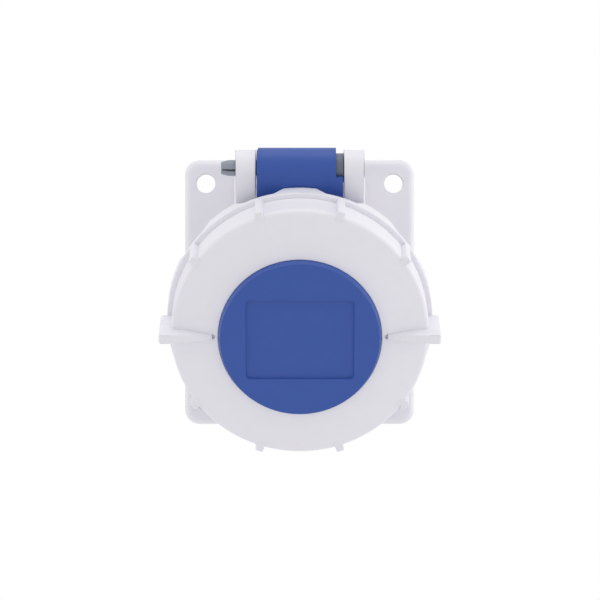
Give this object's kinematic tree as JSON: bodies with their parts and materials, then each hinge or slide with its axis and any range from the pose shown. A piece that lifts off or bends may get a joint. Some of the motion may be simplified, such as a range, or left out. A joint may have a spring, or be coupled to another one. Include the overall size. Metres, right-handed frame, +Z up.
{
  "type": "industrial panel socket",
  "caption": "Angled watertight panel socket with a square-cornered flange, spring hinged lid and turning bayonet ring.",
  "frame": {"origin": "centre of the four-hole pattern in the panel plane, at the back of the flange", "axes": "+Z up, +Y into the panel, the lid faces -Y; the socket axis points 20 degrees down from -Y"},
  "size_m": [0.0776, 0.0739, 0.0847],
  "materials": {
    "white_plastic": "satin",
    "blue_plastic": "satin",
    "grey_plastic": "satin",
    "dark_grey_plastic": "satin",
    "black_plastic": "satin",
    "dark_rubber": "matt",
    "brass": "machined",
    "plated_steel": "zinc plated",
    "spring_steel": "bright"
  },
  "bodies": {
    "base": {"housing": "white_plastic", "panel_gasket": "dark_rubber", "hinge_pin": "grey_plastic", "lid_spring": "spring_steel", "spring_cover": "dark_grey_plastic", "contact_carrier": "black_plastic", "carrier_face": "black_plastic", "rear_insulator": "black_plastic", "carrier_screw_left": "plated_steel", "carrier_screw_right": "plated_steel", "insulator_screw": "plated_steel", "line_chamber": "black_plastic", "line_contact": "brass", "line_spring_band": "spring_steel", "line_terminal_screw": "plated_steel", "line_clamp_plate": "plated_steel", "neutral_chamber": "black_plastic", "neutral_contact": "brass", "neutral_spring_band": "spring_steel", "neutral_terminal_screw": "plated_steel", "neutral_clamp_plate": "plated_steel", "earth_chamber": "black_plastic", "earth_contact": "brass", "earth_spring_band": "spring_steel", "earth_terminal_screw": "plated_steel", "earth_clamp_plate": "plated_steel"},
    "lid": {"lid": "blue_plastic", "lid_gasket": "dark_rubber"},
    "ring": {"bayonet_ring": "white_plastic"}
  },
  "joints": [
    {"name": "lid_hinge", "type": "hinge", "parent": "base", "child": "lid", "pos_m": [0, -0.03566, 0.03437], "axis": [-1, 0, 0], "range_deg": [0, 120], "stiffness_Nm_per_rad": 0.01, "springref_deg": -28.65, "deforming": ["lid_spring"]},
    {"name": "ring_turn", "type": "hinge", "parent": "lid", "child": "ring", "pos_m": [0, -0.04254, -0.01138], "axis": [0, 0.9397, 0.342], "range_deg": [0, 25]}
  ]
}
